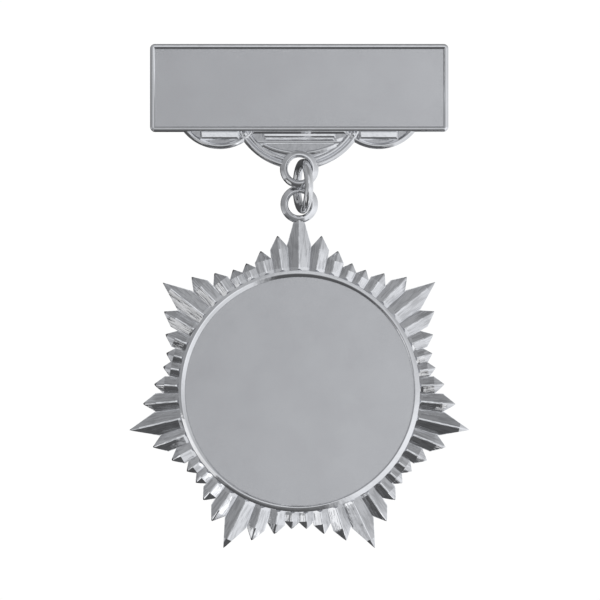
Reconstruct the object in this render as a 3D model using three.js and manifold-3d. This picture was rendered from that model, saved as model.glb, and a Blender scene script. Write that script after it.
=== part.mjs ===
import * as THREE from 'three';
import { ConvexGeometry } from 'three/addons/geometries/ConvexGeometry.js';
import { mergeVertices } from 'three/addons/utils/BufferGeometryUtils.js';
import Module from 'manifold-3d';

// A hanging star medal of plated cast metal: a brooch bar, a jump ring and a rayed star.
// Millimetres, +Z up, +X to the right, the face looks along -Y.
// The origin is the middle of the bar's back, where the brooch holds it to the cloth.
// Each piece is drawn lying face up (x right, y up the medal, z out of the face);
// the last lines stand the whole medal up.

// ---------- driving dimensions ----------

const FIT = 0.02;                    // gap between pieces that touch

const BAR_WIDTH = 45;
const BAR_HEIGHT = 13.2;
const BAR_CORNER = 0.7;
const FLOOR_HEIGHT = 1;              // floor of the recesses above the casting's back
const RIM_HEIGHT = 2.1;              // top of the raised rims above the casting's back
const BAR_RIM_WIDTH = 0.74;

const ADHESIVE_THICKNESS = 0.1;
const PLATE_THICKNESS = 0.4;
const PLATE_PLAY = 0.05;             // gap round a plate in its recess

const SWAG_BACK = 0.2;               // the swags' back above the bar's back
const SWAG_ROOT = 0.4 - BAR_HEIGHT / 2;   // the swags grow out of the bar's lower rim
const CENTRE_SWAG = { x: 0, y: -1.8, radius: 10.48 };
const SIDE_SWAG = { x: 12, y: -2.13, radius: 7.07 };

const UPPER_EYE = { y: -12.2, z: 1, hole: 1.87, outer: 2.92 };
const LOWER_EYE = { y: -17.5, z: -0.7, hole: 1.77, outer: 2.85 };
const EYE_THICKNESS = 1.3;

const RING_WIRE = 1.3;
const RING_CLEARANCE = 0.32;         // the ring's play inside the two eyes
const RING_OFFSET = 0.55;            // the slack ring lies to the right in the eyes
const RING_TURN = 15;                // degrees the ring is turned from edge-on

const STAR_CENTRE = -45.8;
const STAR_BACK = -1.5;              // the star's back, level with the lower eye's back
const STAR_RECESS = 17.25;
const STAR_RIM_CREST = 17.72;
const STAR_RIM_OUTER = 18.3;
const STAR_POINTS = 7;
const RAY_EDGE = 0.95;               // height of a ray's long edges above the star's back
const RAY_ROOT = 18.2;
const RAYS = [                       // one sector from its middle outwards; angles in degrees
  { offset: 3.05, tip: 20.7, drop: 0.95, half: 1.12, ridge: 1.6 },
  { offset: 10.1, tip: 21.75, drop: 1.3, half: 1.24, ridge: 1.65 },
  { offset: 17.6, tip: 23.5, drop: 1.75, half: 1.34, ridge: 1.75 },
  { offset: 180 / STAR_POINTS, tip: 26.05, drop: 3.9, half: 1.72, ridge: 2.05 },
];
const NECK = { tip: 28.5, drop: 6.35, half: 1.72, ridge: 2.05 };   // the top ray, cut off by the eye

const STRIP = { width: 30, height: 4.6, thickness: 0.6, back: -0.72 };
const NEEDLE_RADIUS = 0.4;
const NEEDLE_DEPTH = -2.75;          // the needle's axis behind the bar's back
const NEEDLE_PIVOT = -13;
const NEEDLE_TIP = 14;
const RIVET_RADIUS = 0.45;
const EAR = { inner: 1, thickness: 0.45, radius: 1.15 };
const CATCH_X = 12.2;
const CATCH_LENGTH = 2;
const CATCH_OUTER = 1.75;
const BARREL_RADIUS = 1.2;
const SLOT_WIDTH = 1.1;

// ---------- materials ----------

const finish = (colour, roughness, metalness = 1) =>
  new THREE.MeshStandardMaterial({ color: colour, roughness, metalness });

const castingMetal = finish(0xc9cace, 0.12);
const plateMetal = finish(0xa9abaf, 0.28);
const ringMetal = finish(0xd2d3d6, 0.1);
const broochMetal = finish(0xb9babd, 0.3);
const adhesiveFilm = finish(0xd9d6c8, 0.7, 0);
const solderMetal = finish(0x8f9092, 0.5);

// ---------- solids ----------

const wasm = await Module();
wasm.setup();

function closed(geometry) {
  const bare = geometry.clone();
  bare.deleteAttribute('normal');
  bare.deleteAttribute('uv');
  return mergeVertices(bare, 1e-4);
}

function solid(geometry) {
  const merged = closed(geometry);
  return new wasm.Manifold(new wasm.Mesh({
    numProp: 3,
    vertProperties: new Float32Array(merged.attributes.position.array),
    triVerts: new Uint32Array(merged.index.array),
  }));
}

function geometryOf(manifold) {
  const mesh = manifold.getMesh();
  const geometry = new THREE.BufferGeometry();
  geometry.setAttribute('position', new THREE.BufferAttribute(new Float32Array(mesh.vertProperties), 3));
  geometry.setIndex(new THREE.BufferAttribute(new Uint32Array(mesh.triVerts), 1));
  return geometry;
}

const joined = (geometries) => geometries.map(solid).reduce((whole, piece) => whole.add(piece));
const cut = (whole, geometries) => geometries.map(solid).reduce((rest, tool) => rest.subtract(tool), whole);

function box(x, y, z) {
  const geometry = new THREE.BoxGeometry(x[1] - x[0], y[1] - y[0], z[1] - z[0]);
  return geometry.translate((x[0] + x[1]) / 2, (y[0] + y[1]) / 2, (z[0] + z[1]) / 2);
}

function cylinderAlong(axis, radius, length, segments = 24) {
  const geometry = new THREE.CylinderGeometry(radius, radius, length, segments);
  return axis === 'x' ? geometry.rotateZ(-Math.PI / 2) : geometry;
}

function extruded(shape, from, to, curveSegments = 24) {
  const options = { depth: to - from, bevelEnabled: false, curveSegments };
  return new THREE.ExtrudeGeometry(shape, options).translate(0, 0, from);
}

function lofted(outlines) {
  // Closes a stack of outlines {points, z} of equal length into one solid.
  const count = outlines[0].points.length;
  const positions = outlines.flatMap(({ points, z }) => points.flatMap((p) => [p.x, p.y, z]));
  const indices = [];
  for (let layer = 0; layer + 1 < outlines.length; layer += 1) {
    for (let i = 0; i < count; i += 1) {
      const a = layer * count + i;
      const b = layer * count + (i + 1) % count;
      indices.push(a, b, b + count, a, b + count, a + count);
    }
  }
  const last = (outlines.length - 1) * count;
  THREE.ShapeUtils.triangulateShape(outlines[0].points, [])
    .forEach(([a, b, c]) => indices.push(a, c, b));
  THREE.ShapeUtils.triangulateShape(outlines.at(-1).points, [])
    .forEach(([a, b, c]) => indices.push(last + a, last + b, last + c));
  const geometry = new THREE.BufferGeometry();
  geometry.setAttribute('position', new THREE.Float32BufferAttribute(positions, 3));
  geometry.setIndex(indices);
  return geometry;
}

function roundedRectangle(width, height, corner, steps = 6) {
  const points = [];
  const centres = [[1, 1], [-1, 1], [-1, -1], [1, -1]];
  centres.forEach(([sx, sy], quarter) => {
    for (let step = 0; step <= steps; step += 1) {
      const angle = (quarter + step / steps) * Math.PI / 2;
      points.push(new THREE.Vector2(
        sx * (width / 2 - corner) + corner * Math.cos(angle),
        sy * (height / 2 - corner) + corner * Math.sin(angle),
      ));
    }
  });
  return points;
}

const barOutline = (inset) =>
  roundedRectangle(BAR_WIDTH - 2 * inset, BAR_HEIGHT - 2 * inset, Math.max(BAR_CORNER - inset, 0.1));

// ---------- the bar ----------

function barCasting() {
  // The casting's edge, its rounded rim and the wall down to the recess floor.
  const section = [
    [0.15, 0], [0, 0.15], [0, 1.6], [0.06, 1.88], [0.2, 2.06], [0.37, RIM_HEIGHT],
    [0.53, 2.02], [0.66, 1.8], [BAR_RIM_WIDTH, FLOOR_HEIGHT],
  ];
  return lofted(section.map(([inset, z]) => ({ points: barOutline(inset), z })));
}

function swagPlate(swag, radius, top) {
  // The part of a round plate that hangs below the bar.
  const startAngle = Math.asin((SWAG_ROOT - swag.y) / radius);
  const shape = new THREE.Shape();
  shape.absarc(swag.x, swag.y, radius, Math.PI - startAngle, 2 * Math.PI + startAngle, false);
  shape.closePath();
  return extruded(shape, SWAG_BACK, top);
}

function ledge(swag, halfWidth, drop, top) {
  const span = [swag.x - halfWidth, swag.x + halfWidth];
  return box(span, [-BAR_HEIGHT / 2 - drop, SWAG_ROOT], [SWAG_BACK, top]);
}

function centreSwag() {
  const { radius } = CENTRE_SWAG;
  return [
    swagPlate(CENTRE_SWAG, radius, 1),
    swagPlate(CENTRE_SWAG, radius - 0.25, 1.25),
    swagPlate(CENTRE_SWAG, radius - 0.95, 1.45),
    ledge(CENTRE_SWAG, 5.8, 1.35, 1.6),
    ledge(CENTRE_SWAG, 6.1, 0.8, 1.75),
  ];
}

function sideSwag(side) {
  const swag = { ...SIDE_SWAG, x: side * SIDE_SWAG.x };
  return [
    swagPlate(swag, swag.radius, 0.95),
    swagPlate(swag, swag.radius - 0.3, 1.25),
    ledge(swag, 3, 0.75, 1.45),
  ];
}

function eye({ y, z, hole, outer }) {
  // A round-sectioned ring lying in the face's plane.
  const middle = (hole + outer) / 2;
  const half = (outer - hole) / 2;
  const section = [];
  const steps = 10;
  for (let step = 0; step <= steps; step += 1) {
    const angle = 2 * Math.PI * step / steps;
    section.push(new THREE.Vector2(middle + half * Math.cos(angle), EYE_THICKNESS / 2 * Math.sin(angle)));
  }
  section[steps].copy(section[0]);
  return new THREE.LatheGeometry(section, 40).rotateX(Math.PI / 2).translate(0, y, z);
}

function eyeOpening({ y, z, outer, hole }) {
  // Clears what would stand inside an eye's rounded ring.
  const radius = (outer + hole) / 2;
  return new THREE.CylinderGeometry(radius, radius, 6, 40).rotateX(Math.PI / 2).translate(0, y, z);
}

function barFrame() {
  const swags = joined([...centreSwag(), ...sideSwag(-1), ...sideSwag(1)]);
  const body = cut(swags.add(solid(barCasting())), [eyeOpening(UPPER_EYE)]);
  return geometryOf(body.add(solid(eye(UPPER_EYE))));
}

function plateIn(outline, bottom, thickness) {
  return lofted([{ points: outline, z: bottom }, { points: outline, z: bottom + thickness }]);
}

const adhesiveBottom = FLOOR_HEIGHT + FIT;
const plateBottom = adhesiveBottom + ADHESIVE_THICKNESS + FIT;

// ---------- the star ----------

function starDisc() {
  const profile = [
    [0, 0], [STAR_RIM_OUTER, 0], [STAR_RIM_OUTER, 1.3], [18.2, 1.7], [18, 1.98],
    [STAR_RIM_CREST, RIM_HEIGHT], [17.5, 2], [17.34, 1.78], [STAR_RECESS, FLOOR_HEIGHT], [0, FLOOR_HEIGHT],
  ].map(([r, z]) => new THREE.Vector2(r, z));
  return new THREE.LatheGeometry(profile, 120).rotateX(Math.PI / 2);
}

function ray({ tip, drop, half, ridge }, angle) {
  // A roof-shaped ray pointing up the y axis, turned to its angle.
  const shoulder = tip - drop;
  const fullAt = RAY_ROOT + 0.55;
  const points = [
    [0, fullAt, ridge], [0, shoulder, ridge], [0, tip, RAY_EDGE], [0, tip, 0],
    [0, RAY_ROOT, ridge - 0.4],
  ];
  for (const side of [-1, 1]) {
    for (const z of [0, RAY_EDGE]) {
      points.push([side * half * 0.9, RAY_ROOT - 0.2, z]);
      points.push([side * half, fullAt, z]);
      points.push([side * half, shoulder, z]);
    }
  }
  const geometry = new ConvexGeometry(points.map((p) => new THREE.Vector3(...p)));
  return geometry.rotateZ(THREE.MathUtils.degToRad(angle - 90));
}

function starRays() {
  const rays = [];
  for (let point = 0; point < STAR_POINTS; point += 1) {
    const middle = 90 + (point + 0.5) * 360 / STAR_POINTS;
    for (const shape of RAYS) {
      const angle = middle - shape.offset;
      if (shape !== RAYS.at(-1)) {
        rays.push(ray(shape, angle), ray(shape, middle + shape.offset));
      } else {
        rays.push(ray(Math.abs(angle - 90) < 1 ? NECK : shape, angle));
      }
    }
  }
  return rays;
}

function starBody() {
  const lowerEye = { ...LOWER_EYE, y: LOWER_EYE.y - STAR_CENTRE, z: LOWER_EYE.z - STAR_BACK };
  const burst = cut(joined(starRays()), [
    cylinderAlong('y', STAR_RIM_CREST, 8, 120).rotateX(Math.PI / 2),
    eyeOpening(lowerEye),
  ]);
  return geometryOf(burst.add(solid(starDisc())).add(solid(eye(lowerEye))));
}

const disc = (radius, thickness) =>
  new THREE.CylinderGeometry(radius, radius, thickness, 96).rotateX(Math.PI / 2);

// ---------- the jump ring ----------

const ringTop = UPPER_EYE.y + UPPER_EYE.hole;
const ringBottom = LOWER_EYE.y - LOWER_EYE.hole;
const ringOuter = (ringTop - ringBottom) / 2 - RING_CLEARANCE;
const ringCentre = { y: (ringTop + ringBottom) / 2, z: (UPPER_EYE.z + LOWER_EYE.z) / 2 };

function jumpRing() {
  const torus = new THREE.TorusGeometry(ringOuter - RING_WIRE / 2, RING_WIRE / 2, 12, 48);
  return torus.rotateY(Math.PI / 2);
}

// ---------- the brooch ----------

function hingeEar(side) {
  const shape = new THREE.Shape();
  shape.moveTo(EAR.radius, STRIP.back + 0.3);
  shape.lineTo(EAR.radius, NEEDLE_DEPTH);
  shape.absarc(0, NEEDLE_DEPTH, EAR.radius, 0, Math.PI, true);
  shape.lineTo(-EAR.radius, STRIP.back + 0.3);
  shape.closePath();
  const geometry = extruded(shape, 0, EAR.thickness, 12).rotateX(Math.PI / 2);
  const near = side > 0 ? EAR.inner + EAR.thickness : -EAR.inner;
  return geometry.translate(NEEDLE_PIVOT, near, 0);
}

function broochStrip() {
  const outline = roundedRectangle(STRIP.width, STRIP.height, 1.2);
  const strip = plateIn(outline, STRIP.back, STRIP.thickness);
  const rivetHole = cylinderAlong('y', RIVET_RADIUS + FIT, 6).translate(NEEDLE_PIVOT, 0, NEEDLE_DEPTH);
  return geometryOf(cut(joined([strip, hingeEar(-1), hingeEar(1)]), [rivetHole]));
}

function hingeRivet() {
  const half = EAR.inner + EAR.thickness + FIT;
  const profile = [
    [0, -half - 0.3], [0.7, -half - 0.3], [0.7, -half], [RIVET_RADIUS, -half],
    [RIVET_RADIUS, half], [0.7, half], [0.7, half + 0.3], [0, half + 0.3],
  ].map(([r, y]) => new THREE.Vector2(r, y));
  return new THREE.LatheGeometry(profile, 24);
}

function needle() {
  const eyeHalf = EAR.inner - 0.2;
  const barrel = cylinderAlong('y', 1, 2 * eyeHalf);
  const length = NEEDLE_TIP - NEEDLE_PIVOT;
  const profile = [[0, 0.6], [NEEDLE_RADIUS, 0.6], [NEEDLE_RADIUS, length - 3], [0, length]];
  const rod = new THREE.LatheGeometry(profile.map(([r, y]) => new THREE.Vector2(r, y)), 16);
  const pivotHole = cylinderAlong('y', RIVET_RADIUS + 0.06, 4);
  return geometryOf(cut(joined([barrel, rod.rotateZ(-Math.PI / 2)]), [pivotHole]));
}

function catchHousing() {
  // A split collar on a foot, open towards the back.
  const half = CATCH_LENGTH / 2;
  const foot = box([-half, half], [-CATCH_OUTER, CATCH_OUTER], [0, STRIP.back - FIT - NEEDLE_DEPTH]);
  const bore = cylinderAlong('x', BARREL_RADIUS + 0.1, 4, 32);
  const mouth = box([-2, 2], [-SLOT_WIDTH / 2 - 0.15, SLOT_WIDTH / 2 + 0.15], [-3, 0]);
  return geometryOf(cut(joined([cylinderAlong('x', CATCH_OUTER, CATCH_LENGTH, 32), foot]), [bore, mouth]));
}

function catchBarrel() {
  // A slotted roller between two flanges, with a thumb tab on its outer end.
  const half = CATCH_LENGTH / 2;
  const flange = BARREL_RADIUS + 0.3;
  const pieces = [
    cylinderAlong('x', BARREL_RADIUS, CATCH_LENGTH + 1, 32),
    cylinderAlong('x', flange, 0.3, 32).translate(-half - 0.4, 0, 0),
    cylinderAlong('x', flange, 0.9, 32).translate(half + 0.7, 0, 0),
    box([half + 0.3, half + 1.1], [0.8, 2.9], [-0.45, 0.45]),
  ];
  const slot = box([-4, 4], [-SLOT_WIDTH / 2, SLOT_WIDTH / 2], [-3, SLOT_WIDTH / 2]);
  return geometryOf(cut(joined(pieces), [slot]));
}

// ---------- the medal ----------

const lying = new THREE.Group();

function place(name, geometry, material, position = [0, 0, 0]) {
  const mesh = new THREE.Mesh(geometry, material);
  mesh.name = name;
  mesh.position.set(...position);
  lying.add(mesh);
  return mesh;
}

place('bar_frame', barFrame(), castingMetal);
place('bar_plate_adhesive', plateIn(barOutline(1.4), adhesiveBottom, ADHESIVE_THICKNESS), adhesiveFilm);
place('bar_plate', plateIn(barOutline(BAR_RIM_WIDTH + PLATE_PLAY), plateBottom, PLATE_THICKNESS), plateMetal);

place('star_body', starBody(), castingMetal, [0, STAR_CENTRE, STAR_BACK]);
place('star_plate_adhesive', disc(STAR_RECESS - 0.6, ADHESIVE_THICKNESS), adhesiveFilm,
  [0, STAR_CENTRE, STAR_BACK + adhesiveBottom + ADHESIVE_THICKNESS / 2]);
place('star_plate', disc(STAR_RECESS - PLATE_PLAY, PLATE_THICKNESS), plateMetal,
  [0, STAR_CENTRE, STAR_BACK + plateBottom + PLATE_THICKNESS / 2]);

const ring = place('jump_ring', jumpRing(), ringMetal, [RING_OFFSET, ringCentre.y, ringCentre.z]);
ring.rotation.y = THREE.MathUtils.degToRad(RING_TURN);

const solderOutline = roundedRectangle(STRIP.width - 1, STRIP.height - 1, 0.8);
place('brooch_solder', plateIn(solderOutline, -0.1, 0.1 - FIT), solderMetal);
place('brooch_strip', broochStrip(), broochMetal);
place('hinge_rivet', hingeRivet(), broochMetal, [NEEDLE_PIVOT, 0, NEEDLE_DEPTH]);
place('needle', needle(), broochMetal, [NEEDLE_PIVOT, 0, NEEDLE_DEPTH]);
place('catch_housing', catchHousing(), broochMetal, [CATCH_X, 0, NEEDLE_DEPTH]);
place('catch_barrel', catchBarrel(), broochMetal, [CATCH_X, 0, NEEDLE_DEPTH]);

lying.rotation.x = Math.PI / 2;

const medal = new THREE.Group();
medal.add(lying);

export default medal;
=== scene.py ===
import math
import random

import bpy
from mathutils import Matrix, Vector


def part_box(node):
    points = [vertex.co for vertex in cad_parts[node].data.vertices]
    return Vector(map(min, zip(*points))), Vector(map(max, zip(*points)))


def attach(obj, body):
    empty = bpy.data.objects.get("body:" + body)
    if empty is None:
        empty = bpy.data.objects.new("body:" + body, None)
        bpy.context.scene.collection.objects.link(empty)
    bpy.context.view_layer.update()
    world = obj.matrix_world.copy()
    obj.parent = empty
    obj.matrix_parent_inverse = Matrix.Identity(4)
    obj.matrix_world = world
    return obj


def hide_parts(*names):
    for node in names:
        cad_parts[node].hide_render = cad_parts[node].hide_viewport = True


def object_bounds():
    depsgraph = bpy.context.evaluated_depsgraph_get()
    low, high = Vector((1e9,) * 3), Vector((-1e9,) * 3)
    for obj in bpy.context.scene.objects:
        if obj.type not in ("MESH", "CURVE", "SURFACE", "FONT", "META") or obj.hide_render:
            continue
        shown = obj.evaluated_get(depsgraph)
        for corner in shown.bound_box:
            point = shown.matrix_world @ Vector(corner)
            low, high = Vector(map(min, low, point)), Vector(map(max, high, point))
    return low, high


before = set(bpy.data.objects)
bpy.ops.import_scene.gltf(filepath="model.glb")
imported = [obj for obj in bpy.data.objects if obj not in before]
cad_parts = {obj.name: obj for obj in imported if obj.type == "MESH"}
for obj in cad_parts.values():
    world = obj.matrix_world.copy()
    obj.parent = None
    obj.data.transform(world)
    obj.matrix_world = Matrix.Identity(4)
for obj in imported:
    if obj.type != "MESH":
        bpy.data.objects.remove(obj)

# A hanging star medal of bright plated metal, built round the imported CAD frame.
# Every piece is drawn lying face up, in millimetres: x right, y up the medal, z out of the face.
# stand() then turns it upright and sets it in the frame's metres.

CAD_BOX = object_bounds()
MM = 0.001
TURN = 2 * math.pi
random.seed(7)


def lying_box(node):
    """A CAD node's lowest and highest corners in the drawing's axes and millimetres."""
    low, high = (Vector(corner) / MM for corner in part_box(node))
    return Vector((low.x, low.z, -high.y)), Vector((high.x, high.z, -low.y))


# ---------- sizes, from the frame where it has them ----------

BAR_LOW, BAR_HIGH = lying_box("bar_frame")
BAR_PLATE_LOW, BAR_PLATE_HIGH = lying_box("bar_plate")
STAR_LOW, STAR_HIGH = lying_box("star_body")
STAR_PLATE_LOW, STAR_PLATE_HIGH = lying_box("star_plate")
RING_LOW, RING_HIGH = lying_box("jump_ring")
STRIP_LOW, STRIP_HIGH = lying_box("brooch_strip")
RIVET_LOW, RIVET_HIGH = lying_box("hinge_rivet")
NEEDLE_LOW, NEEDLE_HIGH = lying_box("needle")
COLLAR_LOW, COLLAR_HIGH = lying_box("catch_housing")
ROLLER_LOW, ROLLER_HIGH = lying_box("catch_barrel")

BAR_WIDTH = BAR_HIGH.x - BAR_LOW.x
BAR_HEIGHT = 2 * BAR_HIGH.y
BAR_CORNER = 0.7
BAR_THICKNESS = BAR_HIGH.z
FLOOR_HEIGHT = 1.0
# a rim's section from its outer foot over the crest to the plate: (inset, height)
RIM_INSET = BAR_PLATE_LOW.x - BAR_LOW.x - 0.01
BAR_RIM = [
    (0.01, 1.7), (0.04, 1.88), (0.1, 1.97), (0.22, 2.03), (0.36, 2.075), (0.46, BAR_THICKNESS),
    (0.52, 2.08), (0.72, 1.9), (RIM_INSET - 0.005, 1.76), (RIM_INSET, 1.6), (RIM_INSET, FLOOR_HEIGHT),
]

UPPER_EYE = {"y": -12.2, "z": 1.0, "hole": 1.75, "outer": 2.92}
LOWER_EYE = {"y": -17.5, "z": -0.7, "hole": 1.7, "outer": 2.85}

SWAG_ROOT = 0.4 - BAR_HEIGHT / 2
CENTRE_SWAG = {"x": 0.0, "y": -1.8, "radius": 10.48}
SIDE_SWAG = {"x": 12.0, "y": -2.13, "radius": 7.07}

STAR_CENTRE = (STAR_PLATE_LOW.y + STAR_PLATE_HIGH.y) / 2
STAR_BACK = STAR_LOW.z
STAR_THICKNESS = STAR_HIGH.z - STAR_LOW.z
STAR_RIM_OUTER = 18.3
STAR_INSET = STAR_RIM_OUTER - STAR_PLATE_HIGH.x - 0.01
STAR_RIM = [
    (0.02, 1.65), (0.07, 1.84), (0.16, 1.94), (0.44, 2.05), (0.58, STAR_THICKNESS),
    (0.66, 2.085), (0.82, 1.99), (0.94, 1.8), (0.96, 1.7), (0.96, FLOOR_HEIGHT),
]
STAR_POINTS = 7
RAY_EDGE = 0.95
RAY_ROOT = 18.2
RAY_LIFT = 0.012
RAY_PLAY = 0.2
RAYS = [
    {"offset": 3.05, "tip": 20.7, "drop": 0.95, "half": 1.12, "ridge": 1.6, "blunt": 0.2},
    {"offset": 10.1, "tip": 21.75, "drop": 1.3, "half": 1.24, "ridge": 1.65, "blunt": 0.22},
    {"offset": 17.6, "tip": 23.5, "drop": 1.75, "half": 1.34, "ridge": 1.75, "blunt": 0.22},
    {"offset": 180 / STAR_POINTS, "tip": 26.15, "drop": 4.0, "half": 1.72, "ridge": 2.05, "blunt": 0.2,
     "hip": 1.3},
]
NECK = {"offset": 0, "tip": 28.5, "drop": 6.35, "half": 1.72, "ridge": 2.05, "blunt": 0.1}

RING_WIRE = 1.3
RING_TURN = math.radians(15)
RING_CENTRE = (RING_LOW + RING_HIGH) / 2
RING_RADIUS = (RING_HIGH.y - RING_LOW.y - RING_WIRE) / 2

NEEDLE_RADIUS = 0.4
NEEDLE_TAPER = 3.6
PIVOT = (RIVET_LOW + RIVET_HIGH) / 2
COLLAR_CENTRE = Vector(((COLLAR_LOW.x + COLLAR_HIGH.x) / 2, 0, PIVOT.z))


# ---------- modelling helpers ----------

def drop_selection():
    bpy.ops.object.select_all(action="DESELECT")


def named(name):
    piece = bpy.context.object
    piece.name = name
    piece.data.name = name
    return piece


def hold(piece):
    drop_selection()
    piece.select_set(True)
    bpy.context.view_layer.objects.active = piece


def settle(piece):
    """Puts the object's place, turn and size into its mesh."""
    hold(piece)
    bpy.ops.object.transform_apply(location=True, rotation=True, scale=True)
    return piece


def edit(piece, mode="VERT"):
    hold(piece)
    bpy.ops.object.mode_set(mode="EDIT")
    bpy.ops.mesh.select_mode(type=mode)
    bpy.ops.mesh.select_all(action="SELECT")


def edit_kept(piece, mode="FACE"):
    """Opens a piece with the selection it already has, including corners that were left selected."""
    hold(piece)
    bpy.ops.object.mode_set(mode="EDIT")
    bpy.ops.mesh.select_mode(type=mode)


def leave():
    bpy.ops.object.mode_set(mode="OBJECT")


def block(name, low, high):
    low, high = Vector(low), Vector(high)
    bpy.ops.mesh.primitive_cube_add(size=1, location=(low + high) / 2)
    piece = named(name)
    piece.scale = high - low
    return settle(piece)


def rod(name, radius, length, centre=(0, 0, 0), axis="Z", sides=64):
    turned = {"X": (0, math.pi / 2, 0), "Y": (math.pi / 2, 0, 0), "Z": (0, 0, 0)}[axis]
    bpy.ops.mesh.primitive_cylinder_add(
        vertices=sides, radius=radius, depth=length, location=centre, rotation=turned)
    return settle(named(name))


def section(name, points):
    """A flat outline standing in the x-z plane, drawn by pulling one corner along its points."""
    bpy.ops.mesh.primitive_plane_add(size=0.01)
    outline = named(name)
    edit(outline)
    bpy.ops.mesh.merge(type="CENTER")
    spots = [Vector((x, 0, z)) for x, z in points]
    bpy.ops.transform.translate(value=spots[0])
    for last, spot in zip(spots, spots[1:]):
        bpy.ops.mesh.extrude_vertices_move(TRANSFORM_OT_translate={"value": spot - last})
    bpy.ops.mesh.select_all(action="SELECT")
    bpy.ops.mesh.edge_face_add()
    leave()
    return outline


def face_out(piece):
    edit(piece)
    bpy.ops.mesh.normals_make_consistent(inside=False)
    leave()


def shave(piece, point, normal):
    """Cuts a piece by a plane, drops what lies on the normal's side and closes the cut."""
    edit(piece)
    bpy.ops.mesh.bisect(plane_co=point, plane_no=normal, use_fill=True, clear_outer=True, threshold=1e-5)
    leave()


def shave_through(piece, a, b, c, away_from):
    """Shaves a piece by the plane through three points, keeping the side of away_from."""
    a, b, c = Vector(a), Vector(b), Vector(c)
    normal = (b - a).cross(c - a).normalized()
    if normal.dot(Vector(away_from) - a) > 0:
        normal = -normal
    shave(piece, a, normal)


def apply_modifier(piece, kind, **settings):
    hold(piece)
    modifier = piece.modifiers.new(kind.title(), kind)
    for key, value in settings.items():
        setattr(modifier, key, value)
    bpy.ops.object.modifier_apply(modifier=modifier.name)


def round_edges(piece, width, segments=2, sharper_than=20):
    apply_modifier(piece, "BEVEL", width=width, segments=segments, limit_method="ANGLE",
                   angle_limit=math.radians(sharper_than), harden_normals=False)


def remove(piece):
    bpy.data.objects.remove(piece)


def merge(piece, others, operation="UNION"):
    """One boolean of the piece with several others, which are used up."""
    tools = bpy.data.collections.new("tools")
    bpy.context.scene.collection.children.link(tools)
    for other in others:
        tools.objects.link(other)
    apply_modifier(piece, "BOOLEAN", operation=operation, operand_type="COLLECTION",
                   collection=tools, solver="EXACT")
    for other in others:
        remove(other)
    bpy.data.collections.remove(tools)
    return piece


def copy_of(piece, name):
    twin = piece.copy()
    twin.data = piece.data.copy()
    twin.name = name
    bpy.context.scene.collection.objects.link(twin)
    return twin


def clean(piece):
    edit(piece)
    bpy.ops.mesh.remove_doubles(threshold=0.002)
    bpy.ops.mesh.dissolve_degenerate(threshold=0.001)
    bpy.ops.mesh.select_all(action="SELECT")
    bpy.ops.mesh.normals_make_consistent(inside=False)
    leave()


def polish_shading(piece, angle=34):
    """Rounded places shade smoothly while the flats between them stay flat."""
    hold(piece)
    bpy.ops.object.shade_smooth_by_angle(angle=math.radians(angle))
    apply_modifier(piece, "WEIGHTED_NORMAL", weight=100, keep_sharp=True)


def stand(piece):
    """Turns a piece drawn lying face up in millimetres upright, into the frame's metres."""
    piece.matrix_world = Matrix.Rotation(math.pi / 2, 4, "X") @ Matrix.Scale(MM, 4) @ piece.matrix_world
    return settle(piece)


def finish_piece(piece, body, material, nodes, angle=34):
    stand(piece)
    polish_shading(piece, angle)
    piece.data.materials.clear()
    piece.data.materials.append(material)
    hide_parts(*nodes)
    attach(piece, body)
    return piece


# ---------- materials ----------

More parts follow.
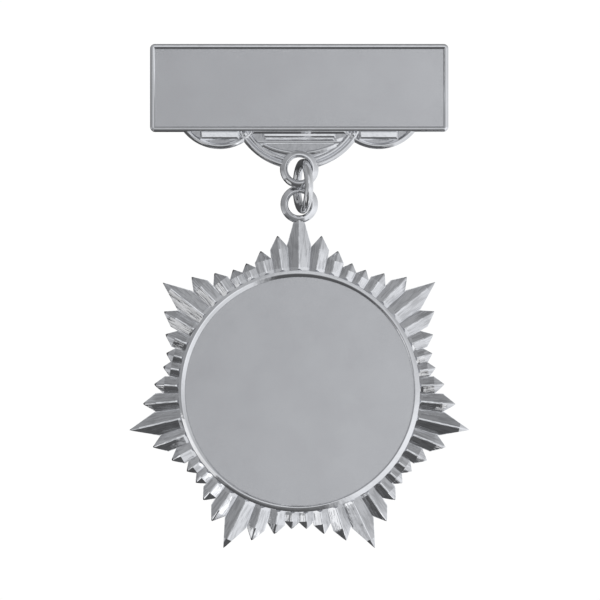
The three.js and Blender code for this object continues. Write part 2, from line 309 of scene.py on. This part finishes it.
class Finish:
    """A node material, with short ways to add and join its nodes."""

    def __init__(self, name):
        self.material = bpy.data.materials.new(name)
        self.material.use_nodes = True
        self.tree = self.material.node_tree
        self.shader = self.tree.nodes["Principled BSDF"]
        self.place = self.tree.nodes.new("ShaderNodeTexCoord").outputs["Object"]

    def join(self, source, target):
        self.tree.links.new(source, target)

    def stretched(self, scale):
        node = self.tree.nodes.new("ShaderNodeMapping")
        node.inputs["Scale"].default_value = scale
        self.join(self.place, node.inputs["Vector"])
        return node.outputs["Vector"]

    def noise(self, scale, detail=3, place=None, roughness=0.55):
        node = self.tree.nodes.new("ShaderNodeTexNoise")
        node.inputs["Scale"].default_value = scale
        node.inputs["Detail"].default_value = detail
        node.inputs["Roughness"].default_value = roughness
        self.join(place or self.place, node.inputs["Vector"])
        return node.outputs["Fac"]

    def between(self, value, low, high, start=0.3, end=0.7):
        node = self.tree.nodes.new("ShaderNodeMapRange")
        node.inputs["From Min"].default_value = start
        node.inputs["From Max"].default_value = end
        node.inputs["To Min"].default_value = low
        node.inputs["To Max"].default_value = high
        self.join(value, node.inputs["Value"])
        return node.outputs["Result"]

    def colours(self, value, *stops):
        node = self.tree.nodes.new("ShaderNodeValToRGB")
        ramp = node.color_ramp
        while len(ramp.elements) < len(stops):
            ramp.elements.new(0.5)
        for element, (position, colour) in zip(ramp.elements, stops):
            element.position = position
            element.color = (*colour, 1)
        self.join(value, node.inputs["Fac"])
        return node.outputs["Color"]

    def shaded(self, colour, share):
        node = self.tree.nodes.new("ShaderNodeVectorMath")
        node.operation = "MULTIPLY"
        self.join(colour, node.inputs[0])
        self.join(share, node.inputs[1])
        return node.outputs[0]

    def math(self, operation, *values):
        node = self.tree.nodes.new("ShaderNodeMath")
        node.operation = operation
        for socket, value in zip(node.inputs, values):
            if isinstance(value, (int, float)):
                socket.default_value = value
            else:
                self.join(value, socket)
        return node.outputs[0]

    def ray_streaks(self):
        """Streaks left by the die along the star's rays, fading out on its rim and its eye."""
        split = self.tree.nodes.new("ShaderNodeSeparateXYZ")
        self.join(self.place, split.inputs[0])
        across, up = split.outputs["X"], self.math("SUBTRACT", split.outputs["Z"], STAR_CENTRE * MM)
        squares = self.math("ADD", self.math("MULTIPLY", across, across), self.math("MULTIPLY", up, up))
        radius = self.math("SQRT", squares)
        turned = self.tree.nodes.new("ShaderNodeCombineXYZ")
        self.join(self.math("MULTIPLY", self.math("ARCTAN2", up, across), 62), turned.inputs[0])
        self.join(self.math("MULTIPLY", radius, 380), turned.inputs[1])
        streaks = self.noise(1.0, detail=2, place=turned.outputs[0])
        rising = self.between(radius, 0, 1, start=0.0184, end=0.0188)
        fading = self.between(radius, 1, 0, start=0.0252, end=0.0262)
        return self.math("MULTIPLY", streaks, self.math("MULTIPLY", rising, fading))

    def bump(self, height, distance, strength=1.0, under=None):
        node = self.tree.nodes.new("ShaderNodeBump")
        node.inputs["Distance"].default_value = distance
        node.inputs["Strength"].default_value = strength
        self.join(height, node.inputs["Height"])
        if under is not None:
            self.join(under, node.inputs["Normal"])
        return node.outputs["Normal"]


def metal(name, tint, roughness, waviness, grain, clouds=(260, 0.94), lines=None, streaks=None):
    """Bright metal: slightly uneven colour and gloss, a wavy skin, fine grain and drawn lines."""
    finish = Finish(name)
    shader = finish.shader
    shader.inputs["Metallic"].default_value = 1.0
    cloud_scale, shade = clouds
    darker = tuple(shade * value for value in tint)
    clouding = finish.noise(cloud_scale, detail=4)
    colour = finish.colours(clouding, (0.3, darker), (0.65, tint))
    specks = finish.noise(5200, detail=2)
    finish.join(finish.between(specks, roughness * 0.75, roughness * 1.3), shader.inputs["Roughness"])
    wave_scale, wave_height = waviness
    skin = finish.bump(finish.noise(wave_scale, detail=2), wave_height)
    skin = finish.bump(finish.noise(9000, detail=2), grain, under=skin)
    if lines:
        scale, depth = lines
        skin = finish.bump(finish.noise(1.0, detail=2, place=finish.stretched(scale)), depth, under=skin)
    if streaks:
        marks = finish.ray_streaks()
        skin = finish.bump(marks, streaks, under=skin)
        colour = finish.shaded(colour, finish.between(marks, 1.0, 0.78, start=0.46, end=0.62))
    finish.join(colour, shader.inputs["Base Color"])
    finish.join(skin, shader.inputs["Normal"])
    return finish.material


def adhesive():
    finish = Finish("adhesive_film")
    weave = finish.noise(2500)
    finish.join(finish.colours(weave, (0.3, (0.62, 0.6, 0.5)), (0.7, (0.78, 0.77, 0.68))),
                finish.shader.inputs["Base Color"])
    finish.join(finish.between(weave, 0.6, 0.8), finish.shader.inputs["Roughness"])
    finish.join(finish.bump(weave, 0.00002), finish.shader.inputs["Normal"])
    return finish.material


CAST_METAL = metal("bright_plating", (0.80, 0.805, 0.82), 0.09, (700, 0.00003), 0.0000006, streaks=0.00005)
PLATE_METAL = metal("satin_plate", (0.81, 0.815, 0.83), 0.2, (1100, 0.000002), 0.0000005,
                    clouds=(170, 0.95), lines=((150, 2500, 9000), 0.0000004))
RING_METAL = metal("bright_wire", (0.82, 0.825, 0.835), 0.1, (1100, 0.00001), 0.0000006)
PIN_METAL = metal("plated_steel", (0.66, 0.66, 0.67), 0.24, (1100, 0.000004), 0.000001,
                  lines=((400, 5000, 9000), 0.000001))
SOLDER = metal("soft_solder", (0.5, 0.5, 0.51), 0.42, (1100, 0.00003), 0.000002)
ADHESIVE = adhesive()


# ---------- the bar ----------

def raise_rim(profile, start_height, corner=None):
    """Insets the selected face again and again, following a rim's section."""
    inset, height = 0.0, start_height
    merged = corner is None
    for next_inset, next_height in profile:
        if next_inset > inset:
            bpy.ops.mesh.inset(thickness=next_inset - inset, depth=0, use_even_offset=True)
            bpy.ops.transform.translate(value=(0, 0, next_height - height))
        else:
            bpy.ops.mesh.extrude_region_move(
                TRANSFORM_OT_translate={"value": (0, 0, next_height - height)})
        inset, height = next_inset, next_height
        if not merged and inset > corner - 0.06:
            bpy.ops.mesh.remove_doubles(threshold=0.05)
            merged = True


def bar_block():
    """The bar: a rounded rectangle whose rim stands round a recess."""
    bpy.ops.mesh.primitive_plane_add(size=1)
    bar = named("bar_casting")
    bar.scale = (BAR_WIDTH, BAR_HEIGHT, 1)
    settle(bar)
    edit(bar)
    bpy.ops.mesh.bevel(offset=BAR_CORNER, segments=8, affect="VERTICES")
    bpy.ops.mesh.select_all(action="SELECT")
    bpy.ops.mesh.extrude_region_move(TRANSFORM_OT_translate={"value": (0, 0, 1.3)})
    raise_rim(BAR_RIM, 1.3, BAR_CORNER)
    bpy.ops.mesh.select_all(action="SELECT")
    bpy.ops.mesh.normals_make_consistent(inside=False)
    leave()
    return bar


def hanging_slab(name, swag, radius, bottom, top, chamfer=0.1):
    """The part of a round plate that hangs below the bar's lower rim."""
    slab = rod(name, radius, top - bottom, (swag["x"], swag["y"], (top + bottom) / 2), sides=160)
    shave(slab, (0, SWAG_ROOT, 0), (0, 1, 0))
    round_edges(slab, chamfer, segments=2)
    return slab


def ledge(name, swag, half_width, lower, bottom, top, slope):
    """A straight step under the bar, with a sloping front and sloping ends."""
    step = block(name, (swag["x"] - half_width, lower, bottom), (swag["x"] + half_width, SWAG_ROOT, top))
    shave(step, (0, lower, top - slope), (0, -1, 1))
    shave(step, (0, lower + slope, top), (0, 0.12, 0.99))
    for side in (-1, 1):
        end = swag["x"] + side * half_width
        shave(step, (end, 0, top - 0.35), (side, 0, 1))
    round_edges(step, 0.03)
    return step


def bead(name, centre, radius, points, base, start, end):
    """A ridge along an arc, its section given as (outwards, up). Angles in degrees from the x axis."""
    ridge = section(name, [(radius + out, up) for out, up in points])
    ridge.rotation_euler = (0, 0, math.radians(start))
    ridge.location = (centre[0], centre[1], base)
    settle(ridge)
    edit(ridge)
    bpy.ops.mesh.spin(steps=max(8, int(abs(end - start) / 2)), angle=math.radians(start - end),
                      center=(centre[0], centre[1], base), axis=(0, 0, 1))
    leave()
    face_out(ridge)
    round_edges(ridge, 0.05, segments=2, sharper_than=15)
    return ridge


def ridge_section(half, height):
    """A ridge with an even slope on each side of a narrow rounded top."""
    return [
        (-half, -0.3), (-half, 0.04), (-0.3 * half, height - 0.04), (0, height),
        (0.25 * half, height - 0.04), (half, 0.06), (half, -0.3),
    ]


def swag_span(swag, radius):
    """The angles between which an arc of that radius lies under the bar's rim."""
    rise = math.degrees(math.asin((SWAG_ROOT - swag["y"]) / radius))
    return 180 - rise, 360 + rise


def raised_floor():
    """The floor under the steps, with an edge that slopes up towards them."""
    slab = hanging_slab("raised_floor", CENTRE_SWAG, CENTRE_SWAG["radius"] - 1.5, 0.33, 1.09)
    shave(slab, (0, -8.06, 0.95), (0, 0.46, 0.89))
    return slab


def stud(side):
    """The small round stud in the corner between two swags."""
    bpy.ops.mesh.primitive_uv_sphere_add(segments=24, ring_count=12, radius=0.46,
                                         location=(side * 8.2, -6.95, 1.2))
    return settle(named("stud"))


def centre_swag():
    swag = CENTRE_SWAG
    middle = (swag["x"], swag["y"])
    radius = swag["radius"]
    pieces = [hanging_slab("swag_floor", swag, radius - 0.15, 0.2, 0.95), raised_floor()]
    for name, inset, half, height in (("outer_bead", 0.44, 0.44, 0.42), ("inner_bead", 1.24, 0.38, 0.36)):
        arc = radius - inset
        start, end = swag_span(swag, arc)
        pieces.append(bead(name, middle, arc, ridge_section(half, height), 1.0, start, end))
    lip = [(-0.32, -0.3), (-0.3, 0.0), (-0.14, 0.34), (0.0, 0.4), (0.45, 0.2), (0.5, -0.3)]
    pieces.append(bead("recess_lip", (0, 2.3), 12.1, lip, 1.0, 243, 297))
    pieces.append(ledge("step_high", swag, 7.1, -6.95, 0.25, 1.85, 0.33))
    pieces.append(ledge("step_middle", swag, 5.6, -7.54, 0.27, 1.5, 0.26))
    pieces.append(ledge("step_low", swag, 5.4, -8.04, 0.29, 1.25, 0.33))
    return pieces


def side_swag(side):
    swag = {**SIDE_SWAG, "x": side * SIDE_SWAG["x"]}
    middle = (swag["x"], swag["y"])
    radius = swag["radius"]
    shift = 0.01 * side
    pieces = [hanging_slab("side_floor", swag, radius - 0.15, 0.23 + shift, 0.93 + shift)]
    arc = radius - 0.46
    start, end = swag_span(swag, arc)
    pieces.append(bead("side_bead", middle, arc, ridge_section(0.46, 0.42), 0.96, start, end))
    pieces.append(ledge("side_step", swag, 3.0, -7.9, 0.31 + shift, 1.5, 0.45))
    return pieces


def eye_ring(name, eye):
    """A flat-backed eye: a wide outer slope, a crest and a narrow slope into the hole."""
    hole, outer = eye["hole"], eye["outer"]
    outline = section(name, [
        (hole, -0.4), (hole, 0.3), (hole + 0.12, 0.52), (hole + 0.28, 0.64), (hole + 0.4, 0.64),
        (hole + 0.52, 0.6), (outer - 0.2, 0.4), (outer - 0.06, 0.22), (outer, -0.05), (outer, -0.42),
        (outer - 0.12, -0.58),
        (outer - 0.3, -0.65), (hole + 0.3, -0.65), (hole + 0.12, -0.58),
    ])
    edit(outline)
    bpy.ops.mesh.delete(type="ONLY_FACE")
    bpy.ops.mesh.select_all(action="SELECT")
    bpy.ops.mesh.spin(steps=80, angle=TURN, center=(0, 0, 0), axis=(0, 0, 1))
    bpy.ops.mesh.select_all(action="SELECT")
    bpy.ops.mesh.remove_doubles(threshold=0.001)
    bpy.ops.mesh.normals_make_consistent(inside=False)
    leave()
    outline.location = (0, eye["y"], eye["z"])
    return settle(outline)


def eye_clearing(eye):
    middle = (eye["hole"] + eye["outer"]) / 2
    return rod("clearing", middle, 8, (0, eye["y"], eye["z"]), sides=80)


def bar_casting():
    bar = bar_block()
    merge(bar, centre_swag() + side_swag(-1) + side_swag(1) + [stud(-1), stud(1)])
    merge(bar, [eye_clearing(UPPER_EYE)], "DIFFERENCE")
    merge(bar, [eye_ring("upper_eye", UPPER_EYE)])
    clean(bar)
    return finish_piece(bar, "bar", CAST_METAL, ["bar_frame"])


# ---------- the star ----------

def star_disc():
    """The star's round middle, with its rim standing round the recess."""
    disc = rod("star_casting", STAR_RIM_OUTER, 1.3, (0, 0, 0.65), sides=224)
    edit(disc, "FACE")
    bpy.ops.mesh.select_all(action="DESELECT")
    leave()
    for face in disc.data.polygons:
        face.select = face.normal.z > 0.9
    edit_kept(disc)
    raise_rim(STAR_RIM, 1.3)
    bpy.ops.mesh.select_all(action="DESELECT")
    leave()
    for lowest, widest, move in ((1.85, 20, (-0.13, 0.12, 0)), (0.9, 17.37, (0.06, -0.06, 0))):
        for vertex in disc.data.vertices:
            vertex.select = vertex.co.z > lowest and vertex.co.xy.length < widest
        edit_kept(disc, "VERT")
        bpy.ops.transform.translate(value=move)
        bpy.ops.mesh.select_all(action="DESELECT")
        leave()
    return disc


def roof(name, tip, shoulder, half, ridge, edge, hip, hip_foot, base=0.06):
    """A roof with two long slopes, narrowing from its shoulder and hipped over its last part."""
    shape = block(name, (-half - 0.01, RAY_ROOT - 0.6 - base, base), (half + 0.01, tip, ridge + 0.01))
    inside = (0, shoulder - 0.5, 0.3)
    share = (tip - hip) / (tip - shoulder)
    hip_height = ridge + share * (edge - ridge)
    for side in (-1, 1):
        border = side * half
        shave_through(shape, (0, 0, ridge), (0, 10, ridge), (border, 0, edge), inside)
        shave_through(shape, (0, hip, ridge), (0, tip, hip_foot), (share * border, hip, hip_height), inside)
        shave_through(shape, (border, shoulder, 0), (0, tip, 0), (border, shoulder, 1), inside)
        shave(shape, (border, 0, 0), (side, 0, 0))
    return shape


def ray(name, tip, drop, half, ridge, blunt, hip=None, **_):
    """One ray: a steep roof with a narrow crest on a wider, flatter foot, hipped towards the rim."""
    shoulder = tip - drop
    point = tip + 1.6 * blunt
    hip_start = tip - hip if hip else shoulder
    full_at = RAY_ROOT + 0.38
    edge = RAY_EDGE - 0.09
    hip_foot = RAY_EDGE - 0.12
    shape = roof(name, point, shoulder, half, ridge, edge, hip_start, hip_foot)
    root_hip = ((0, full_at, ridge), (1, full_at, ridge), (0, RAY_ROOT - 0.1, ridge - 0.5))
    shave_through(shape, *root_hip, (0, shoulder - 0.5, 0.3))
    fall = (ridge - hip_foot) / (point - hip_start)
    for side in (-1, 1):
        shave(shape, (0, 0, ridge - 0.06), (side * 0.19, 0, 1))
        shave(shape, (0, hip_start, ridge - 0.065), (side * 0.2, fall, 1))
    foot = roof("foot", point - 0.01, shoulder, half + 0.1, edge + 0.17 * half, edge - 0.03,
                shoulder, edge - 0.15, base=0.04)
    for part, step in ((shape, 0), (foot, RAY_LIFT)):
        for lean in (-1, 0, 1):
            place = (blunt * lean, tip - step - 0.5 * blunt * abs(lean), RAY_EDGE)
            shave(part, place, (0.5 * lean, 1, 0.3))
        clean(part)
    merge(shape, [foot])
    clean(shape)
    return shape


def star_rays():
    rays = []
    for shape in RAYS + [NECK]:
        model = ray("ray_model", **shape)
        sides = (1,) if shape["offset"] in (0, RAYS[-1]["offset"]) else (1, -1)
        for point in range(STAR_POINTS):
            middle = 90 + (point + 0.5) * 360 / STAR_POINTS
            for side in sides:
                at_top = point == 0 and shape is RAYS[-1]
                if at_top or (shape is NECK and point > 0):
                    continue
                one = copy_of(model, "ray")
                angle = 90 if shape is NECK else middle - side * shape["offset"]
                one.location.z = RAY_LIFT * (len(rays) % 5)
                one.rotation_euler.z = math.radians(angle - 90 + random.uniform(-RAY_PLAY, RAY_PLAY))
                rays.append(settle(one))
        remove(model)
    return rays


def star_casting():
    lower_eye = {**LOWER_EYE, "y": LOWER_EYE["y"] - STAR_CENTRE, "z": LOWER_EYE["z"] - STAR_BACK}
    rays = star_rays()
    burst = rays.pop()
    merge(burst, rays)
    merge(burst, [rod("middle", STAR_RIM_OUTER - 0.5, 8, sides=224), eye_clearing(lower_eye)], "DIFFERENCE")
    star = star_disc()
    merge(star, [burst, eye_ring("lower_eye", lower_eye)])
    clean(star)
    star.location = (0, STAR_CENTRE, STAR_BACK)
    settle(star)
    return finish_piece(star, "star", CAST_METAL, ["star_body"], angle=21)


# ---------- the ring ----------

def jump_ring():
    """Round wire bent into a ring, its two ends nearly meeting at the back."""
    bpy.ops.mesh.primitive_circle_add(vertices=36, radius=RING_WIRE / 2, fill_type="NGON",
                                      rotation=(math.pi / 2, 0, 0))
    ring = named("split_ring")
    ring.location = (RING_RADIUS, 0, 0)
    settle(ring)
    gap = math.radians(1.6)
    edit(ring)
    bpy.ops.mesh.spin(steps=120, angle=TURN - gap, center=(0, 0, 0), axis=(0, 0, 1))
    bpy.ops.mesh.select_all(action="SELECT")
    bpy.ops.mesh.normals_make_consistent(inside=False)
    leave()
    round_edges(ring, 0.05, segments=2, sharper_than=60)
    upright = Matrix.Rotation(RING_TURN, 4, "Y") @ Matrix.Rotation(math.pi / 2, 4, "Y")
    ring.matrix_world = Matrix.Translation(RING_CENTRE) @ upright
    settle(ring)
    return finish_piece(ring, "ring", RING_METAL, ["jump_ring"])


# ---------- the brooch ----------

def hinge_ear(side):
    """A rounded ear folded back from the strip to carry the rivet."""
    thickness = 0.45
    centre = side * (1 + thickness / 2)
    ear = rod("ear", 1.15, thickness, (PIVOT.x, centre, PIVOT.z), axis="Y", sides=48)
    foot = block("foot", (PIVOT.x - 1.15, centre - thickness / 2, PIVOT.z),
                 (PIVOT.x + 1.15, centre + thickness / 2, STRIP_HIGH.z - 0.3))
    merge(ear, [foot])
    return ear


def pin_strip():
    bpy.ops.mesh.primitive_plane_add(size=1, location=(0, 0, STRIP_HIGH.z - 0.6))
    strip = named("pin_strip")
    strip.scale = (STRIP_HIGH.x - STRIP_LOW.x, STRIP_HIGH.y - STRIP_LOW.y, 1)
    settle(strip)
    edit(strip)
    bpy.ops.mesh.bevel(offset=1.2, segments=8, affect="VERTICES")
    bpy.ops.mesh.select_all(action="SELECT")
    bpy.ops.mesh.extrude_region_move(TRANSFORM_OT_translate={"value": (0, 0, 0.6)})
    bpy.ops.mesh.select_all(action="SELECT")
    bpy.ops.mesh.normals_make_consistent(inside=False)
    leave()
    merge(strip, [hinge_ear(-1), hinge_ear(1)])
    holes = [rod("rivet_hole", 0.47, 6, PIVOT, axis="Y", sides=48)]
    holes += [rod("strip_hole", 0.7, 4, (x, 0, STRIP_HIGH.z), sides=48) for x in (-8, 0, 8)]
    merge(strip, holes, "DIFFERENCE")
    clean(strip)
    round_edges(strip, 0.06)
    return finish_piece(strip, "bar", PIN_METAL, ["brooch_strip"])


def pin_rivet():
    half = (RIVET_HIGH.y - RIVET_LOW.y) / 2
    rivet = rod("pin_rivet", 0.45, 2 * half - 0.3, PIVOT, axis="Y", sides=48)
    heads = []
    for side in (-1, 1):
        head = rod("head", 0.7, 0.3, PIVOT + Vector((0, side * (half - 0.15), 0)), axis="Y", sides=48)
        round_edges(head, 0.12, segments=3)
        heads.append(head)
    merge(rivet, heads)
    clean(rivet)
    return finish_piece(rivet, "bar", PIN_METAL, ["hinge_rivet"])


def pin_needle():
    """Pin wire drawn to a point, meant to be joined to the eye that turns on the rivet."""
    # Known fault: the whole wire is selected here, not only its end, so it comes out too thin and
    # its eye is lost. The wire has to be deselected in edit mode first, as star_disc does.
    length = NEEDLE_HIGH.x - PIVOT.x
    wire = rod("pin_needle", NEEDLE_RADIUS, length - NEEDLE_TAPER, axis="Z", sides=40)
    for face in wire.data.polygons:
        face.select = face.normal.z > 0.9
    edit_kept(wire)
    taper = [(0.9, 0.96), (0.9, 0.8), (0.8, 0.6), (0.39, 0.2)]
    for step, shrink in taper:
        bpy.ops.mesh.extrude_region_move(TRANSFORM_OT_translate={"value": (0, 0, step)})
        bpy.ops.transform.resize(value=(shrink, shrink, 1))
    leave()
    wire.matrix_world = (Matrix.Translation(PIVOT + Vector((0.6 + (length - NEEDLE_TAPER) / 2, 0, 0)))
                         @ Matrix.Rotation(math.pi / 2, 4, "Y"))
    settle(wire)
    eye = rod("needle_eye", 1, 1.6, PIVOT, axis="Y", sides=64)
    round_edges(eye, 0.18, segments=3)
    merge(wire, [eye])
    merge(wire, [rod("eye_hole", 0.51, 4, PIVOT, axis="Y", sides=48)], "DIFFERENCE")
    clean(wire)
    return finish_piece(wire, "needle", PIN_METAL, ["needle"])


def catch_collar():
    """The split collar of the catch on its foot, open at the back."""
    half = (COLLAR_HIGH.x - COLLAR_LOW.x) / 2
    outer = (COLLAR_HIGH.y - COLLAR_LOW.y) / 2
    collar = rod("catch_collar", outer, 2 * half, COLLAR_CENTRE, axis="X", sides=72)
    foot = block("foot", COLLAR_CENTRE + Vector((-half, -outer, 0)),
                 (COLLAR_CENTRE.x + half, outer, COLLAR_HIGH.z))
    merge(collar, [foot])
    bore = rod("bore", 1.3, 6, COLLAR_CENTRE, axis="X", sides=72)
    mouth = block("mouth", COLLAR_CENTRE + Vector((-3, -0.7, -3)), COLLAR_CENTRE + Vector((3, 0.7, 0)))
    merge(collar, [bore, mouth], "DIFFERENCE")
    clean(collar)
    round_edges(collar, 0.07)
    return finish_piece(collar, "bar", PIN_METAL, ["catch_housing"])


def catch_roller():
    """The slotted roller that locks the needle, with its thumb tab."""
    half = (COLLAR_HIGH.x - COLLAR_LOW.x) / 2
    roller = rod("catch_roller", 1.2, 2 * half + 1, COLLAR_CENTRE, axis="X", sides=72)
    low_flange = rod("flange", 1.5, 0.3, COLLAR_CENTRE - Vector((half + 0.4, 0, 0)), axis="X", sides=72)
    high_flange = rod("flange", 1.5, 0.9, COLLAR_CENTRE + Vector((half + 0.7, 0, 0)), axis="X", sides=72)
    tab = block("tab", COLLAR_CENTRE + Vector((half + 0.3, 0.8, -0.45)),
                COLLAR_CENTRE + Vector((half + 1.1, 2.9, 0.45)))
    round_edges(tab, 0.2, segments=3)
    merge(roller, [low_flange, high_flange, tab])
    slot = block("slot", COLLAR_CENTRE + Vector((-4, -0.55, -3)), COLLAR_CENTRE + Vector((4, 0.55, 0.55)))
    merge(roller, [slot], "DIFFERENCE")
    clean(roller)
    round_edges(roller, 0.05)
    return finish_piece(roller, "catch", PIN_METAL, ["catch_barrel"])


def finish_cad_nodes():
    """The flat plates, films and solder keep their CAD shape and take a finish."""
    finishes = {
        "bar_plate": PLATE_METAL,
        "star_plate": PLATE_METAL,
        "bar_plate_adhesive": ADHESIVE,
        "star_plate_adhesive": ADHESIVE,
        "brooch_solder": SOLDER,
    }
    for name, material in finishes.items():
        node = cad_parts[name]
        node.data.materials.clear()
        node.data.materials.append(material)


# ---------- the studio ----------

def linear(grey):
    """Light value of a grey from 0 to 255 on a screen."""
    level = grey / 255
    return level / 12.92 if level <= 0.04045 else ((level + 0.055) / 1.055) ** 2.4


WORLD_STRENGTH = 1.5
METAL_LEVEL = 0.8
# what the metal mirrors when its surface leans a little, more, or past 45 degrees:
# soft lamps on the right, a lit ceiling, a dark table edge below
HALO_BAND = [(0, 236), (60, 232), (120, 214), (180, 200), (240, 196), (290, 225), (360, 236)]
GENTLE_BAND = [(0, 205), (40, 200), (90, 205), (120, 170), (145, 150), (180, 145), (215, 140), (245, 130),
               (280, 125), (300, 235), (340, 240), (360, 205)]
STEEP_BAND = [(0, 205), (15, 190), (33, 178), (48, 165), (61, 143), (77, 134), (94, 134), (110, 142),
              (120, 156), (138, 155), (154, 144), (171, 140), (180, 134), (190, 164), (200, 175), (208, 196),
               (211, 192), (214, 100), (218, 84), (282, 82), (288, 165), (293, 216), (305, 212), (318, 208),
              (334, 226), (350, 226), (360, 205)]
REAR_BAND = [(0, 215), (40, 150), (90, 100), (140, 75), (180, 70), (225, 60), (280, 50), (300, 215),
             (360, 215)]


class World:
    """The surroundings that the polished metal mirrors."""

    def __init__(self):
        self.world = bpy.data.worlds.new("soft_studio")
        self.world.use_nodes = True
        self.tree = self.world.node_tree
        self.tree.nodes.clear()

    def add(self, kind, **settings):
        node = self.tree.nodes.new(kind)
        for key, value in settings.items():
            setattr(node, key, value)
        return node

    def join(self, source, target):
        self.tree.links.new(source, target)

    def math(self, operation, *values):
        node = self.add("ShaderNodeMath", operation=operation)
        for socket, value in zip(node.inputs, values):
            if isinstance(value, (int, float)):
                socket.default_value = value
            else:
                self.join(value, socket)
        return node.outputs[0]

    def around(self, turn, stops):
        """A band round the view axis: (degrees counted from the right, grey) pairs."""
        node = self.add("ShaderNodeValToRGB")
        ramp = node.color_ramp
        ramp.interpolation = "EASE"
        while len(ramp.elements) < len(stops):
            ramp.elements.new(0.5)
        for element, (degrees, grey) in zip(ramp.elements, stops):
            element.position = degrees / 360
            value = linear(grey) / METAL_LEVEL / WORLD_STRENGTH
            element.color = (value * 0.985, value, value * 1.03, 1)
        self.join(turn, node.inputs["Fac"])
        return node.outputs["Color"]

    def blend(self, factor, first, second):
        node = self.add("ShaderNodeMix", data_type="RGBA")
        self.join(factor, node.inputs["Factor"])
        for socket, value in ((node.inputs[6], first), (node.inputs[7], second)):
            if isinstance(value, tuple):
                socket.default_value = value
            else:
                self.join(value, socket)
        return node.outputs[2]

    def rise(self, value, start, end):
        node = self.add("ShaderNodeMapRange", interpolation_type="SMOOTHSTEP")
        node.inputs["From Min"].default_value = start
        node.inputs["From Max"].default_value = end
        self.join(value, node.inputs["Value"])
        return node.outputs["Result"]


def studio_world():
    made = World()
    direction = made.add("ShaderNodeTexCoord").outputs["Generated"]
    parts = made.add("ShaderNodeSeparateXYZ")
    made.join(direction, parts.inputs[0])
    x, y, z = parts.outputs
    turn = made.math("FRACT", made.math("MULTIPLY_ADD", made.math("ARCTAN2", z, x), 1 / TURN, 1))
    spread = made.math("SQRT", made.math("ADD", made.math("MULTIPLY", x, x), made.math("MULTIPLY", z, z)))
    level = linear(166) / METAL_LEVEL / WORLD_STRENGTH
    front_grey = made.math("MULTIPLY_ADD", x, 0.9, made.math("MULTIPLY_ADD", z, -0.3, level))
    front = made.add("ShaderNodeCombineColor")
    for socket, tint in zip(front.inputs, (0.985, 1, 1.035)):
        made.join(made.math("MULTIPLY", front_grey, tint), socket)
    halo = made.around(turn, HALO_BAND)
    gentle = made.around(turn, GENTLE_BAND)
    steep = made.around(turn, STEEP_BAND)
    behind = made.around(turn, REAR_BAND)
    shade = made.blend(made.rise(spread, 0.18, 0.27), front.outputs[0], halo)
    shade = made.blend(made.rise(spread, 0.38, 0.5), shade, gentle)
    shade = made.blend(made.rise(spread, 0.62, 0.82), shade, steep)
    shade = made.blend(made.rise(y, 0.2, 0.5), shade, behind)
    path = made.add("ShaderNodeLightPath")
    white = 1.02 / WORLD_STRENGTH
    seen = made.blend(path.outputs["Is Camera Ray"], shade, (white, white, white, 1))
    background = made.add("ShaderNodeBackground")
    background.inputs["Strength"].default_value = WORLD_STRENGTH
    made.join(seen, background.inputs["Color"])
    output = made.add("ShaderNodeOutputWorld")
    made.join(background.outputs[0], output.inputs["Surface"])
    bpy.context.scene.world = made.world


def studio_floor():
    """A plain pale round floor under the medal."""
    size = CAD_BOX[1] - CAD_BOX[0]
    bpy.ops.mesh.primitive_circle_add(vertices=128, radius=1.8 * size.z, fill_type="NGON",
                                      location=(0, 0, CAD_BOX[0].z - 0.32 * size.z))
    floor = settle(named("pale_floor"))
    finish = Finish("pale_floor")
    finish.shader.inputs["Base Color"].default_value = (0.86, 0.86, 0.86, 1)
    finish.join(finish.between(finish.noise(60), 0.7, 0.85), finish.shader.inputs["Roughness"])
    floor.data.materials.append(finish.material)
    floor.visible_glossy = False


def soft_lamp(name, place, target, size, energy):
    bpy.ops.object.light_add(type="AREA", location=place)
    lamp = bpy.context.object
    lamp.name = name
    lamp.data.shape = "DISK"
    lamp.data.size = size
    lamp.data.energy = energy
    lamp.visible_camera = False
    lamp.rotation_euler = (Vector(target) - lamp.location).to_track_quat("-Z", "Y").to_euler()
    return lamp


def studio_light():
    """One large soft lamp high on the right, and small cards that light a few rays from below."""
    middle = (0, 0, (CAD_BOX[0].z + CAD_BOX[1].z) / 2)
    key = soft_lamp("key_lamp", (0.35, -0.6, 0.55), middle, 0.7, 6)
    key.visible_glossy = False
    cards = [
        ((-0.055, -0.035, -0.076), (-0.0186, 0, -0.0308), 0.04, 0.0025),
        ((0.0322, -0.0273, -0.107), (0.021, 0, -0.0435), 0.02, 0.0007),
    ]
    for number, card in enumerate(cards):
        soft_lamp(f"fill_card_{number + 1}", *card).visible_diffuse = False


def camera():
    """A long lens looking straight at the face."""
    lens, sensor, picture = 200, 36, 0.09
    bpy.ops.object.camera_add(rotation=(math.pi / 2, 0, 0))
    eye = bpy.context.object
    eye.data.lens = lens
    eye.data.sensor_width = sensor
    eye.data.clip_start, eye.data.clip_end = 0.01, 10
    eye.location = (0.00011, CAD_BOX[0].y - picture * lens / sensor, -0.032)
    bpy.context.scene.camera = eye


bar_casting()
star_casting()
jump_ring()
pin_strip()
pin_rivet()
pin_needle()
catch_collar()
catch_roller()
finish_cad_nodes()
studio_world()
studio_floor()
studio_light()
camera()

bpy.context.scene.view_settings.view_transform = "Standard"
